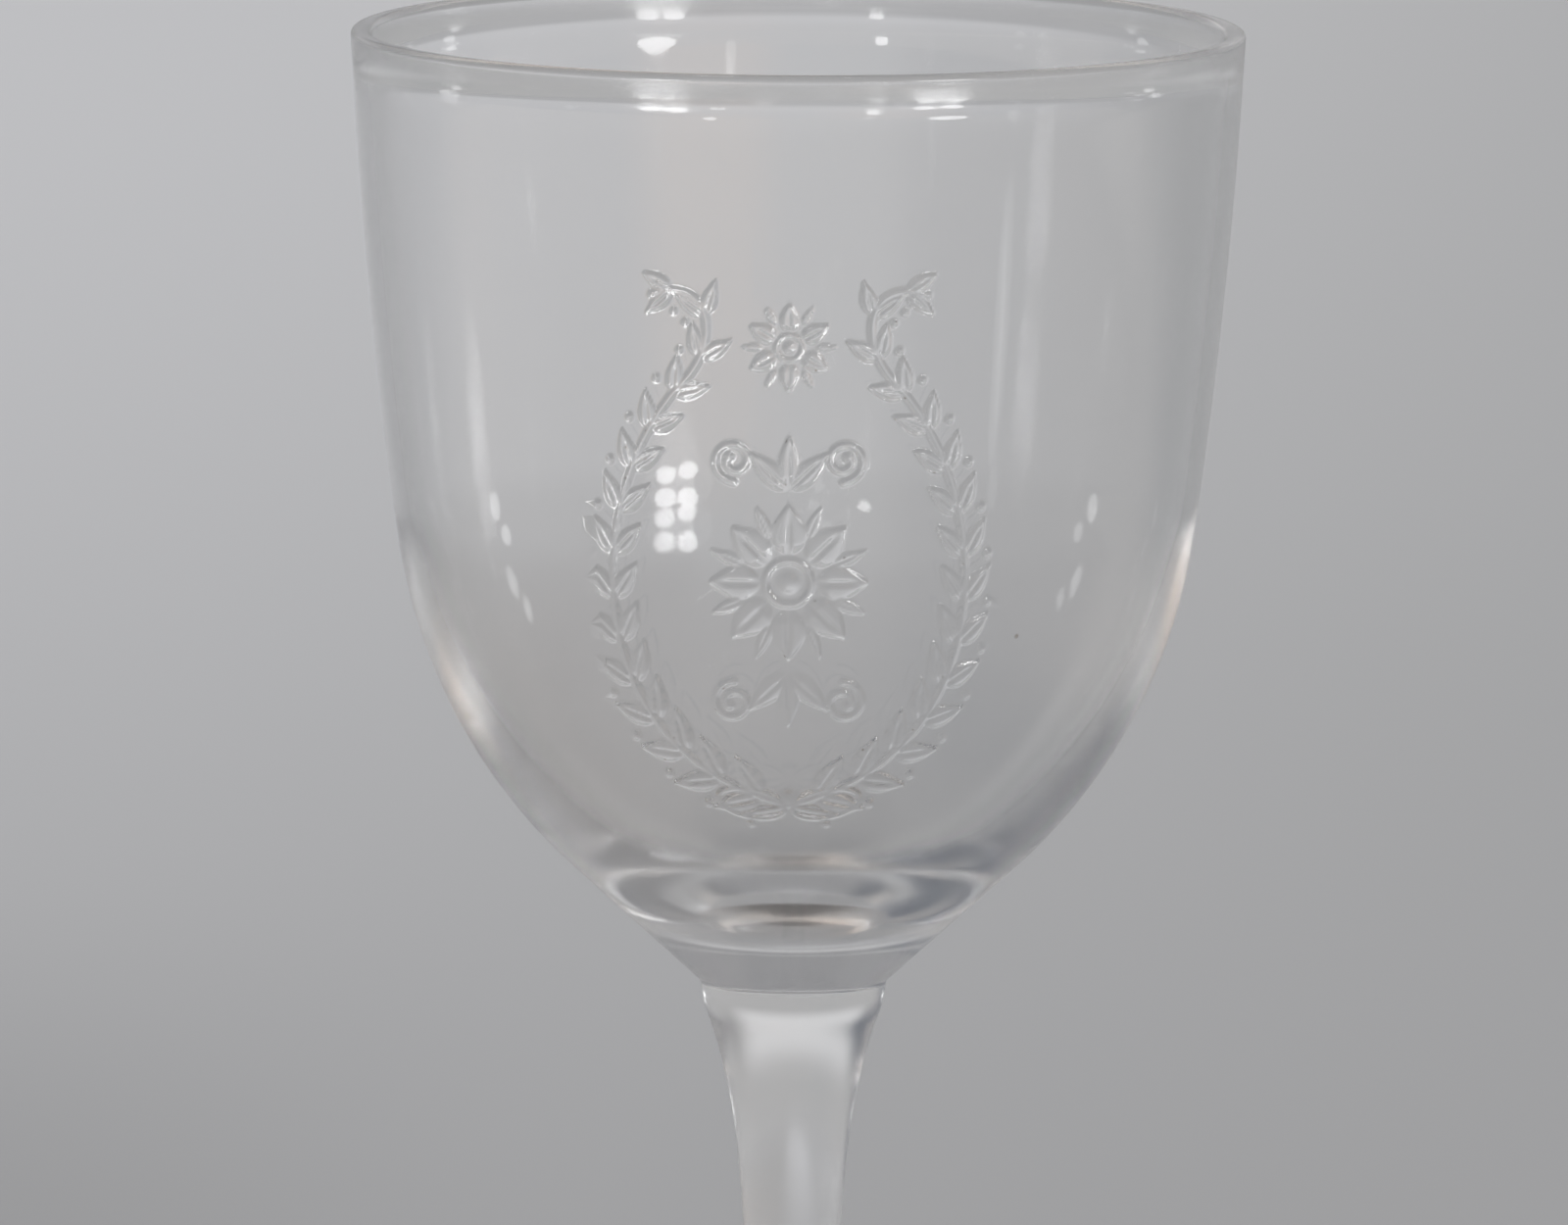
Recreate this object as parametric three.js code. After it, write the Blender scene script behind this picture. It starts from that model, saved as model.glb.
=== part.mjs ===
// A small stemmed liqueur glass in colourless glass.
//
// The real glass is three gathers of hot glass that were joined one after the other:
//   bowl  a blown cup, nearly straight at the rim, drawn in by a round shoulder to a steep cone,
//         with solid glass left under the hollow
//   stem  a solid rod that was pulled while hot, so it thins fast below its neck and then slowly
//   foot  a shallow cone with a rounded edge, dished a little below, so it stands on a flat ring
//
// Units are millimetres. +Z is up, and the origin is the centre of the ring that the foot stands on.

import * as THREE from "three";

// Bowl
const rimRadius = 24; // outside, just below the rounded lip
const bowlHeight = 51.4; // from the stem's neck to the top of the lip
const coneLength = 9.2; // straight run of the outside above the neck, along the slope
const coneLean = THREE.MathUtils.degToRad(47.7); // slopes are measured from the vertical
const wallLeanLow = THREE.MathUtils.degToRad(8.1); // where the shoulder ends
const wallLeanHigh = THREE.MathUtils.degToRad(2.9); // at the rim
const lipThickness = 0.9; // the lip is a half round of this width

// The bowl's hollow
const floorThickness = 4.6; // solid glass on the axis, between the neck and the hollow
const floorRadius = 18.5; // the floor of the hollow is part of a ball
const floorReach = THREE.MathUtils.degToRad(46); // angle of its arc, from the axis to its edge
const hollowLeanLow = THREE.MathUtils.degToRad(7.5); // where the shoulder inside ends

// Stem
const stemLength = 49.1;
const neckRadius = 5.16; // the neck joins the bowl's base at the same radius
const neckLength = 1.9;
const neckTaper = 0.3; // lost in radius over the neck
const waistRadius = 2.3; // the rod that the two flares run out to
const upperDraw = 6.1; // height over which the upper flare falls to 1/e
const lowerDraw = 4.5; // the same for the flare above the foot

// Foot
const footRadius = 26;
const footHeight = 7.5;
const footJoinRadius = 4.6; // the stem's lower end and the foot's top have this radius
const footEdge = 1.8; // height of the rounded edge
const footSweep = 7; // radial distance over which the foot's rise falls to 1/e
const ringWidth = 3.2; // flat ring that the glass stands on
const ringSetback = 1; // from the outside of the edge to the ring
const dishHeight = 1.7; // rise of the dish under the foot, on the axis

// Fineness of the facets
const roundSides = 64;
const stemSides = 40;
const conePieces = 2;
const shoulderPieces = 9;
const wallPieces = 5;
const lipPieces = 6;
const floorPieces = 6;
const stemPieces = 7;
const footPieces = 7;
const edgePieces = 6;
const dishPieces = 4;

// Colourless glass with the bright skin that fire polishing leaves.
function clearGlass() {
  return new THREE.MeshStandardMaterial({
    color: 0xf0f3f3,
    roughness: 0.04,
    metalness: 0,
    transparent: true,
    opacity: 0.35,
  });
}

// A direction in the profile plane (radius, height) that leans outwards by an angle from the vertical.
function leaning(lean) {
  return new THREE.Vector2(Math.sin(lean), Math.cos(lean));
}

// The direction square to it that points into the hollow.
function inward(lean) {
  return new THREE.Vector2(-Math.cos(lean), Math.sin(lean));
}

// A point moved along a direction.
function moved(point, direction, distance) {
  return point.clone().addScaledVector(direction, distance);
}

// The chord of an arc whose lean changes from one angle to another.
function chord(radius, from, to) {
  return new THREE.Vector2(
    radius * (Math.cos(to) - Math.cos(from)),
    radius * (Math.sin(from) - Math.sin(to)),
  );
}

// Turns a profile about the vertical axis and stands it along +Z.
function turned(profile, sides) {
  return new THREE.LatheGeometry(profile, sides).rotateX(Math.PI / 2);
}

// One side of the bowl's wall, from a point and its lean up to the rim: a round shoulder and a wall with
// a slight curve, which run into each other smoothly. The shoulder's radius and the wall's chord are the
// two unknowns that bring the wall to the rim.
function wallSide(start, startLean, lowLean, rim) {
  const gap = rim.clone().sub(start);
  const bend = chord(1, startLean, lowLean);
  const rise = leaning((lowLean + wallLeanHigh) / 2);
  const shoulderRadius = gap.cross(rise) / bend.cross(rise);
  const wallChord = bend.cross(gap) / bend.cross(rise);
  const halfTurn = (lowLean - wallLeanHigh) / 2;
  const wallRadius = wallChord / (2 * Math.sin(halfTurn));

  const points = [];
  for (let i = 1; i <= shoulderPieces; i++) {
    const lean = THREE.MathUtils.lerp(startLean, lowLean, i / shoulderPieces);
    points.push(start.clone().add(chord(shoulderRadius, startLean, lean)));
  }
  const wallFoot = points.at(-1);
  for (let i = 1; i <= wallPieces; i++) {
    const lean = THREE.MathUtils.lerp(lowLean, wallLeanHigh, i / wallPieces);
    points.push(wallFoot.clone().add(chord(wallRadius, lowLean, lean)));
  }
  return points;
}

// The outside from the neck up to the rim: a straight cone and then the wall's outer side.
function bowlOutside(rim) {
  const start = new THREE.Vector2(neckRadius, 0);
  const points = [];
  for (let i = 0; i <= conePieces; i++) {
    points.push(moved(start, leaning(coneLean), (i / conePieces) * coneLength));
  }
  return points.concat(wallSide(points.at(-1), coneLean, wallLeanLow, rim));
}

// The hollow from the axis up to the rim: a round floor and then the wall's inner side.
function bowlHollow(rim) {
  const points = [];
  for (let i = 0; i <= floorPieces; i++) {
    const angle = (floorReach * i) / floorPieces;
    const height = floorThickness + floorRadius * (1 - Math.cos(angle));
    points.push(new THREE.Vector2(floorRadius * Math.sin(angle), height));
  }
  const edgeLean = Math.PI / 2 - floorReach;
  return points.concat(wallSide(points.at(-1), edgeLean, hollowLeanLow, rim));
}

// The lip: a half circle about its centre, from the outside of the wall over to the inside.
function lip(centre) {
  const points = [];
  for (let i = 1; i < lipPieces; i++) {
    const lean = wallLeanHigh - (Math.PI * i) / lipPieces;
    points.push(moved(centre, inward(lean), -lipThickness / 2));
  }
  return points;
}

// Both sides meet the lip, which stands out from neither.
function bowlGeometry() {
  const lipRise = (lipThickness / 2) * (1 + Math.sin(wallLeanHigh));
  const rim = new THREE.Vector2(rimRadius, bowlHeight - lipRise);
  const lipCentre = moved(rim, inward(wallLeanHigh), lipThickness / 2);
  const rimInside = moved(rim, inward(wallLeanHigh), lipThickness);
  const profile = [
    new THREE.Vector2(0, 0),
    ...bowlOutside(rim),
    ...lip(lipCentre),
    ...bowlHollow(rimInside).reverse(),
  ];
  return turned(profile, roundSides);
}

// The stem's radius at a height above the foot, below the neck: a thin rod with a flare at each end.
function stemRadius(height) {
  const neckFoot = stemLength - neckLength;
  const upper = neckRadius - neckTaper - waistRadius;
  const lower = footJoinRadius - waistRadius;
  const upperFlare = upper * Math.exp((height - neckFoot) / upperDraw);
  const lowerFlare = lower * Math.exp(-height / lowerDraw);
  return waistRadius + upperFlare + lowerFlare;
}

// Heights crowd towards the two ends, where the flares are.
function stemGeometry() {
  const neckFoot = stemLength - neckLength;
  const profile = [new THREE.Vector2(0, 0)];
  for (let i = 0; i <= 2 * stemPieces; i++) {
    const share = (1 - Math.cos((Math.PI * i) / (2 * stemPieces))) / 2;
    const height = share * neckFoot;
    profile.push(new THREE.Vector2(stemRadius(height), height));
  }
  profile.push(new THREE.Vector2(neckRadius, stemLength));
  profile.push(new THREE.Vector2(0, stemLength));
  return turned(profile, stemSides);
}

// The height of the foot's upper side at a radius: it falls away fast from the stem, then slowly.
function footTop(radius) {
  const run = footRadius - footEdge / 2 - footJoinRadius;
  const last = Math.exp(-run / footSweep);
  const fall = (Math.exp(-(radius - footJoinRadius) / footSweep) - last) / (1 - last);
  return footEdge + (footHeight - footEdge) * fall;
}

// From the dish out to the standing ring, round the edge and back up to the stem.
function footGeometry() {
  const ringOuter = footRadius - ringSetback;
  const ringInner = ringOuter - ringWidth;
  const edgeCentre = new THREE.Vector2(footRadius - footEdge / 2, footEdge / 2);
  const profile = [];
  for (let i = 0; i <= dishPieces; i++) {
    const share = i / dishPieces;
    profile.push(new THREE.Vector2(ringInner * share, dishHeight * (1 - share ** 2)));
  }
  profile.push(new THREE.Vector2(ringOuter, 0));
  for (let i = 1; i <= edgePieces; i++) {
    const angle = (Math.PI * i) / edgePieces - Math.PI / 2;
    const around = new THREE.Vector2(Math.cos(angle), Math.sin(angle));
    profile.push(moved(edgeCentre, around, footEdge / 2));
  }
  for (let i = 1; i <= footPieces; i++) {
    const share = (1 - i / footPieces) ** 2;
    const radius = THREE.MathUtils.lerp(footJoinRadius, edgeCentre.x, share);
    profile.push(new THREE.Vector2(radius, footTop(radius)));
  }
  profile.push(new THREE.Vector2(0, footHeight));
  return turned(profile, roundSides);
}

function piece(name, geometry, height) {
  const mesh = new THREE.Mesh(geometry, clearGlass());
  mesh.name = name;
  mesh.position.z = height;
  return mesh;
}

const liqueurGlass = new THREE.Group();
liqueurGlass.add(piece("foot", footGeometry(), 0));
liqueurGlass.add(piece("stem", stemGeometry(), footHeight));
liqueurGlass.add(piece("bowl", bowlGeometry(), footHeight + stemLength));

export default liqueurGlass;
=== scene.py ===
# %% [markdown]
# # A small liqueur glass
#
# The glass is three gathers of colourless glass, fused while hot: a bowl with a fine raised ornament on
# its front, a drawn stem and a shallow foot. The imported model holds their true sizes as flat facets.
# Here each one is made again as a smooth skin in the same place, because glass shows every facet it has.
# The sizes that the model can tell are read from it, so that nothing has to be fitted later.

# %% Load the frame
from math import cos, radians, sin

import bpy
import numpy as np
from mathutils import Matrix, Vector


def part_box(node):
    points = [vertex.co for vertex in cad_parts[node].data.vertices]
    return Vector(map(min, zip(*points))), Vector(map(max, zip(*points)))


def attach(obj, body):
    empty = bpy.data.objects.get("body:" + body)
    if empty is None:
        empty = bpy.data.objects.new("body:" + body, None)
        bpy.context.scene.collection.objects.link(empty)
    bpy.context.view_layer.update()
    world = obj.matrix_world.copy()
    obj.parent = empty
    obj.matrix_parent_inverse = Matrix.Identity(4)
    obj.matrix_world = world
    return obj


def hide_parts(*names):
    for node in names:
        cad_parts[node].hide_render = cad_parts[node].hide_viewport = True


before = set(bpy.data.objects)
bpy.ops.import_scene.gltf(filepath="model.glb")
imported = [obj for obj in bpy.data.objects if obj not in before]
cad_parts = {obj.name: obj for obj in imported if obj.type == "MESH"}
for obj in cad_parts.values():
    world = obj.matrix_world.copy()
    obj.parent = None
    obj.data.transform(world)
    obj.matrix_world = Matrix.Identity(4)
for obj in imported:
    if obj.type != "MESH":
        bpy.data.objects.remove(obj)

MM = 0.001
scene = bpy.context.scene
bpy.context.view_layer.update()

foot_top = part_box("foot")[1].z
foot_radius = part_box("foot")[1].x
neck_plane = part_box("bowl")[0].z
neck_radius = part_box("stem")[1].x
rim_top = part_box("bowl")[1].z
rim_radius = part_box("bowl")[1].x
print("foot top %.1f, neck %.1f, rim %.1f mm" % (foot_top / MM, neck_plane / MM, rim_top / MM))

# %% [markdown]
# ## Profiles
#
# Every piece is turned about the upright axis, so it starts as an outline in the plane of radius and
# height. A glassmaker thinks of such an outline as runs that lean by some angle from the vertical and
# flow into each other. The helpers below speak that language: a lean, an arc between two leans, and a
# pair of arcs that has to end at a known point, which leaves their two radii to be solved.

# %% Outline helpers
def along(lean):
    """A unit step in (radius, height) that leans outwards from the vertical: (sine, cosine)."""
    return np.stack([np.sin(lean), np.cos(lean)], -1)


def across(lean):
    """The step turned a quarter turn out of the glass: (cosine, minus sine)."""
    return np.stack([np.cos(lean), -np.sin(lean)], -1)


def arc(start, radius, leans):
    """Points of an arc: the start plus the radius times the change in (cosine, minus sine)."""
    return start + radius * (across(leans) - across(leans[0]))


def two_arcs(start, leans, end, steps, crowd=1):
    """Two arcs that share a slope where they meet. Their chords are the two unknown radii times known
    directions, and add up to the way from start to end, which is a pair of linear equations. With a power
    above 1, the points crowd towards the end."""
    first = np.linspace(leans[0], leans[1], steps[0] + 1)
    second = leans[2] + (leans[1] - leans[2]) * np.linspace(1, 0, steps[1] + 1) ** crowd
    chords = np.stack([across(a[-1]) - across(a[0]) for a in (first, second)], 1)
    radii = np.linalg.solve(chords, end - start)
    low = arc(start, radii[0], first)
    return np.vstack([low, arc(low[-1], radii[1], second)[1:]])


# %% [markdown]
# ## The bowl's outline
#
# Outside, a straight cone stands on the neck, a round shoulder draws it upright and a wall with hardly
# any curve runs to the rim. Inside, the hollow has a round floor of its own, so the glass is thickest in
# the middle of the base. That thick base is what bends the light into rings and wedges, so its shape
# matters more than anything else for the look. The rim was melted round, which left a soft bead inside.

# %% Bowl outline
CONE_LENGTH = 9.2 * MM
CONE_LEAN = radians(47.7)
WALL_LEAN_LOW = radians(8.1)
WALL_LEAN_HIGH = radians(2.9)
LIP_THICKNESS = 0.9 * MM
FLOOR_THICKNESS = 4.6 * MM
FLOOR_RADIUS = 18.5 * MM
FLOOR_REACH = radians(46)
HOLLOW_LEAN_LOW = radians(7.5)
BEAD_HEIGHT = 0.25 * MM
BEAD_WIDTH = 1.3 * MM
BEAD_CROWD = 1.9

lip_rise = LIP_THICKNESS / 2 * (1 + sin(WALL_LEAN_HIGH))
rim = np.array([rim_radius, rim_top - lip_rise])
lip_centre = rim - LIP_THICKNESS / 2 * across(WALL_LEAN_HIGH)
rim_inside = rim - LIP_THICKNESS * across(WALL_LEAN_HIGH)


def bowl_outside(cone_steps, steps):
    """A cone from the neck and two arcs up to the rim."""
    start = np.array([neck_radius, neck_plane])
    cone = start + np.linspace(0, CONE_LENGTH, cone_steps + 1)[:, None] * along(CONE_LEAN)
    leans = (CONE_LEAN, WALL_LEAN_LOW, WALL_LEAN_HIGH)
    return np.vstack([cone[:-1], two_arcs(cone[-1], leans, rim, steps)])


def bowl_hollow(floor_steps, steps):
    """A round floor from the axis, two arcs up to the rim, and the bead as a bell curve below the lip."""
    angle = np.linspace(0, FLOOR_REACH, floor_steps + 1)
    floor = np.stack([np.sin(angle), 1 - np.cos(angle)], -1) * FLOOR_RADIUS
    floor[:, 1] += neck_plane + FLOOR_THICKNESS
    leans = (np.pi / 2 - FLOOR_REACH, HOLLOW_LEAN_LOW, WALL_LEAN_HIGH)
    points = np.vstack([floor[:-1], two_arcs(floor[-1], leans, rim_inside, steps, BEAD_CROWD)])
    points[:, 0] -= BEAD_HEIGHT * np.exp(-((rim_inside[1] - points[:, 1]) / BEAD_WIDTH) ** 2)
    return points


def lip(inner_end, steps):
    """Half an oval over the rim, from the outside of the wall to the top of the bead."""
    turn = np.linspace(0, np.pi, steps + 1)[1:-1]
    middle = (rim + inner_end) / 2
    half = (rim - inner_end) / 2
    top = lip_centre + LIP_THICKNESS / 2 * along(WALL_LEAN_HIGH) - middle
    return middle + np.cos(turn)[:, None] * half + np.sin(turn)[:, None] * top


CONE_STEPS = 14
WALL_STEPS = (24, 32)
FLOOR_STEPS = 30
HOLLOW_STEPS = (44, 34)
LIP_STEPS = 12
SPLIT = 8
outside_fine = bowl_outside(CONE_STEPS * SPLIT, (WALL_STEPS[0] * SPLIT, WALL_STEPS[1] * SPLIT))
outside = outside_fine[::SPLIT]
hollow = bowl_hollow(FLOOR_STEPS, HOLLOW_STEPS)
bowl_profile = np.vstack([outside, lip(hollow[-1], LIP_STEPS), hollow[::-1]])
print("bowl outline: %d points outside, %d in all" % (len(outside), len(bowl_profile)))

# %% [markdown]
# ## From an outline to a skin
#
# A skin is a grid: one parameter runs along the outline, the other round the axis. Angles start at the
# front, which faces -Y, and grow towards +X. Normals come from the outline's own tangent and are stored
# with the mesh, so that light bends as it would in perfectly smooth glass, however few faces there are.

# %% Skin helpers
DUSTY = 30 * MM, 70 * MM


def tangents(profile):
    """Unit tangents by central differences over the length run along the outline."""
    run = np.concatenate([[0], np.cumsum(np.hypot(*np.diff(profile, axis=0).T))])
    slope = np.gradient(profile, run, axis=0)
    return slope / np.linalg.norm(slope, axis=1)[:, None]


def swing(flat, angles):
    """(radius, height) pairs swung to every angle: (radius sine, minus radius cosine, height)."""
    radius, height = flat[:, None, 0], flat[:, None, 1]
    return np.stack([radius * np.sin(angles), -radius * np.cos(angles), height + 0 * angles], -1)


def ring_quads(rows, columns):
    """Four corners of each cell of a grid whose columns close on themselves, as (row, column, corner)."""
    i = np.arange(rows - 1)[:, None]
    j = np.arange(columns)[None, :]
    k = (j + 1) % columns
    return np.stack([i * columns + j, i * columns + k, (i + 1) * columns + k, (i + 1) * columns + j], -1)


def add_piece(name, points, normals, faces, fused_faces, materials):
    """A mesh object at the origin. The faces that touch another gather come last, with the second
    material. A third material goes to the faces between the two heights where dust settles."""
    mesh = bpy.data.meshes.new(name)
    mesh.from_pydata(points.tolist(), [], faces + fused_faces)
    for material in materials:
        mesh.materials.append(material)
    index = np.zeros(len(mesh.polygons), np.int32)
    index[len(faces):] = 1
    heights = np.empty(len(mesh.polygons) * 3)
    mesh.polygons.foreach_get("center", heights)
    low, high = DUSTY
    heights = heights[2::3]
    index[(index == 0) & (heights > low) & (heights < high)] = 2
    mesh.polygons.foreach_set("material_index", index)
    mesh.shade_smooth()
    mesh.normals_split_custom_set_from_vertices(normals.tolist())
    piece = bpy.data.objects.new(name, mesh)
    scene.collection.objects.link(piece)
    triangles = sum(len(face) - 2 for face in faces + fused_faces)
    print("%s: %d points, %d triangles" % (name, len(points), triangles))
    return piece


def end_fan(ring, centre, at_start):
    """Triangles from a ring of points to its centre, facing down at the start and up at the end."""
    ahead = np.roll(ring, -1)
    hub = np.full_like(ring, centre)
    order = (hub, ahead, ring) if at_start else (ring, ahead, hub)
    return np.stack(order, -1).tolist()


# %% [markdown]
# ## The ornament
#
# The front of the bowl carries a fine relief that was pressed into the glass. Here it is a bouquet of
# common motifs: two leafy branches cross at the bottom, swing apart and turn out again at the top, like
# the arms of a lyre, with a large flower between them. A real relief is a change of height, so it is one
# here as well: a height over a flat sheet, in millimetres across and up, which is later laid on the wall.
# Each motif is a smooth hump over its own distance, and where motifs cross the higher one wins.

# %% Relief helpers
def hump(distance, width):
    """A rounded ridge: the square of (1 - squared distance over the half width squared), 0 outside it."""
    return np.clip(1 - (2 * distance / width) ** 2, 0, 1) ** 2


def oval(x, y, wide, high):
    """Distance to an oval, to first order: (reach - 1) over the slope of the reach."""
    reach = np.hypot(x / wide, y / high) + 1e-9
    return (reach - 1) * reach / np.hypot(x / wide**2, y / high**2).clip(1e-9)


def turned_to(x, y, place, angle):
    """Coordinates along and across a direction, from a place on the sheet."""
    dx, dy = x - place[0], y - place[1]
    return dx * cos(angle) + dy * sin(angle), dy * cos(angle) - dx * sin(angle)


def leaf(x, y, place, angle, length, width):
    """A leaf: a pillow between two bows, highest near the stalk, with a groove for its midrib."""
    along_leaf, across_leaf = turned_to(x, y, place, angle)
    share = np.clip(along_leaf / length, 0, 1)
    half = width / 2 * np.sin(np.pi * share**0.75) + 1e-6
    pillow = np.clip(1 - (across_leaf / half) ** 2, 0, 1) ** 0.7
    groove = 1 - 0.55 * hump(across_leaf, 0.3 * width) * np.clip((0.9 - share) / 0.3, 0, 1)
    return pillow * groove * np.clip(4 * share, 0, 1) * (half > 0.02 * width)


def dot(x, y, place, width):
    """A round bead of glass."""
    return hump(np.hypot(x - place[0], y - place[1]), width)


# %% Relief motifs
BRANCH = ((-2.4, -14.4), (12.6, -12.2), (11.4, 3.4), (5.6, 9.4), (3.6, 11.5), (4.0, 15.2), (7.4, 14.0))
BRANCH_STEPS, CURL_STEPS = 25, 40
STALK_WIDTH = 0.62
LEAF_PAIRS = 15
LEAF_LENGTH, LEAF_WIDTH, LEAF_LEAN = 2.7, 1.25, 0.62
BERRY_WIDTH, BERRY_AWAY = 0.75, 1.55
LARGE_FLOWER = ((0, -1.4), 4.3, 8)
SMALL_FLOWER = ((0, 11.3), 2.4, 6)
SPRIG_ABOVE, SPRIG_BELOW = (0, 3.6), (0, -6.4)
KNOT = (0, -13.5)


def strongest(heights):
    """Where motifs cross, the higher one wins."""
    return np.maximum.reduce(list(heights))


def bends(corners, steps):
    """Cubic curves in a row: each uses four corners, weighted by (1-t)^3, 3(1-t)^2 t, 3(1-t)t^2 and
    t^3."""
    t = np.linspace(0, 1, steps)[:, None]
    weights = np.hstack([(1 - t) ** 3, 3 * (1 - t) ** 2 * t, 3 * (1 - t) * t**2, t**3])
    corners = np.array(corners)
    return np.vstack([weights @ corners[k:k + 4] for k in range(0, len(corners) - 1, 3)])


def cord(x, y, line, width):
    """A ridge along a line of points: a hump over the distance to the nearest piece of the line."""
    nearest = np.full(x.shape, np.inf)
    for start, end in zip(line[:-1], line[1:]):
        step = end - start
        share = ((x - start[0]) * step[0] + (y - start[1]) * step[1]) / max(step @ step, 1e-9)
        share = np.clip(share, 0, 1)
        away = np.hypot(x - start[0] - share * step[0], y - start[1] - share * step[1])
        nearest = np.minimum(nearest, away)
    return hump(nearest, width)


def branch(x, y, side):
    """A stalk with pairs of leaves that get smaller towards its tip, and a berry outside every pair."""
    line = bends(BRANCH, BRANCH_STEPS) * (side, 1)
    run = np.concatenate([[0], np.cumsum(np.hypot(*np.diff(line, axis=0).T))])
    parts = [0.8 * cord(x, y, line, STALK_WIDTH)]
    for share in np.linspace(0.1, 0.97, LEAF_PAIRS):
        place = np.array([np.interp(share * run[-1], run, line[:, k]) for k in (0, 1)])
        ahead = np.array([np.interp(share * run[-1] + 0.3, run, line[:, k]) for k in (0, 1)])
        heading = np.arctan2(*(ahead - place)[::-1])
        size = 1.1 - 0.4 * share
        for lean in (-LEAF_LEAN, LEAF_LEAN):
            parts.append(leaf(x, y, place, heading + lean, LEAF_LENGTH * size, LEAF_WIDTH * size))
        out = place + BERRY_AWAY * size * np.array([sin(heading) * side, -cos(heading) * side])
        parts.append(0.85 * dot(x, y, out, BERRY_WIDTH * size))
    return strongest(parts)


def curl(x, y, centre, radius, side, width):
    """A spiral ridge that winds in by one and a third turns and ends in a bead."""
    turn = np.linspace(-0.5 * np.pi, 2.2 * np.pi, CURL_STEPS)
    reach = radius * np.linspace(1, 0.3, CURL_STEPS)
    line = np.stack([side * reach * np.cos(turn), reach * np.sin(turn)], -1) + centre
    return strongest([0.85 * cord(x, y, line, width), dot(x, y, line[-1], 1.5 * width)])


def sprig(x, y, foot, up):
    """Three leaves from one foot, between a pair of curls."""
    parts = [leaf(x, y, foot, up * (np.pi / 2 + lean), 3.0, 1.25) for lean in (-0.8, 0, 0.8)]
    parts += [curl(x, up * y, (side * 2.9, up * foot[1] + 1.6), 1.15, side, 0.55) for side in (-1, 1)]
    return strongest(parts)


def tie(x, y):
    """A bow where the branches cross: two loops and a knot."""
    parts = [dot(x, y, KNOT, 1.6)]
    for side in (-1, 1):
        loop_x, loop_y = turned_to(x, y, (KNOT[0] + side * 2.0, KNOT[1] - 0.3), side * 0.2)
        parts.append(0.85 * hump(oval(loop_x, loop_y, 1.8, 0.8), 0.5))
    return strongest(parts)


def flower(x, y, centre, reach, petals):
    """Broad petals with narrow leaves between them, round a ring and a button."""
    x, y = x - centre[0], y - centre[1]
    parts = [dot(x, y, (0, 0), 0.36 * reach), 0.8 * hump(np.hypot(x, y) - 0.28 * reach, 0.13 * reach)]
    step = np.pi / petals
    for turn in np.arange(petals) * 2 * step + np.pi / 2:
        foot = 0.33 * reach * np.array([cos(turn), sin(turn)])
        parts.append(leaf(x, y, foot, turn, 0.67 * reach, 0.46 * reach))
        foot = 0.55 * reach * np.array([cos(turn + step), sin(turn + step)])
        parts.append(0.7 * leaf(x, y, foot, turn + step, 0.5 * reach, 0.17 * reach))
    return strongest(parts)


def relief(x, y):
    """The whole ornament as a share of its full height."""
    parts = [branch(x, y, side) for side in (-1, 1)]
    parts += [flower(x, y, *LARGE_FLOWER), flower(x, y, *SMALL_FLOWER), tie(x, y)]
    parts += [sprig(x, y, SPRIG_ABOVE, 1), sprig(x, y, SPRIG_BELOW, -1)]
    return strongest(parts)


# %% [markdown]
# ## The bowl
#
# The ornament needs cells of a tenth of a millimetre, the rest of the bowl only cells of almost one. So
# the wall is one coarse grid with a window in it where every cell is split eight by eight. The coarse
# cells round the window take the window's points on their shared edge, which keeps the skin closed.
# The relief pushes the window's points out along the wall's normal, and its slope tilts their normals.

# %% Window in the grid
BOWL_COLUMNS = 160
RELIEF_HEIGHT = 0.16 * MM
ORNAMENT_TURN = radians(-1.0)
ORNAMENT_CENTRE = 82.2 * MM
ORNAMENT_LOW, ORNAMENT_TOP = 66.6 * MM, 98.4 * MM
WINDOW_HALF_COLUMNS = 13

first_column = BOWL_COLUMNS // 2
angles = (np.arange(BOWL_COLUMNS) - first_column) * 2 * np.pi / BOWL_COLUMNS
row_low = int(np.searchsorted(outside[:, 1], ORNAMENT_LOW)) - 1
row_top = int(np.searchsorted(outside[:, 1], ORNAMENT_TOP)) + 1
column_low = first_column - WINDOW_HALF_COLUMNS
column_top = first_column + WINDOW_HALF_COLUMNS
fine_rows = (row_top - row_low) * SPLIT + 1
fine_columns = (column_top - column_low) * SPLIT + 1


def window_surface():
    """The wall's points plus the relief along their normals, normals tilted by the relief's slope, and
    the share of the relief's height."""
    flat = outside_fine[row_low * SPLIT:row_top * SPLIT + 1]
    tangent = tangents(outside_fine)[row_low * SPLIT:row_top * SPLIT + 1]
    turn = np.linspace(angles[column_low], angles[column_top], fine_columns)
    points = swing(flat, turn)
    upward = swing(tangent, turn)
    outward = swing(np.stack([tangent[:, 1], -tangent[:, 0]], -1), turn)
    sideways = np.stack([np.cos(turn), np.sin(turn), 0 * turn], -1)[None]
    x = flat[:, None, 0] * (turn - ORNAMENT_TURN)[None]
    y = (flat[:, None, 1] - ORNAMENT_CENTRE) + 0 * turn
    height = RELIEF_HEIGHT * relief(x / MM, y / MM)
    run = np.concatenate([[0], np.cumsum(np.hypot(*np.diff(flat, axis=0).T))])
    climb = np.gradient(height, run, axis=0)
    drift = np.gradient(height, turn, axis=1) / flat[:, None, 0]
    normals = outward - climb[..., None] * upward - drift[..., None] * sideways
    normals = normals / np.linalg.norm(normals, axis=-1)[..., None]
    return points + height[..., None] * outward, normals, height / RELIEF_HEIGHT


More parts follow.
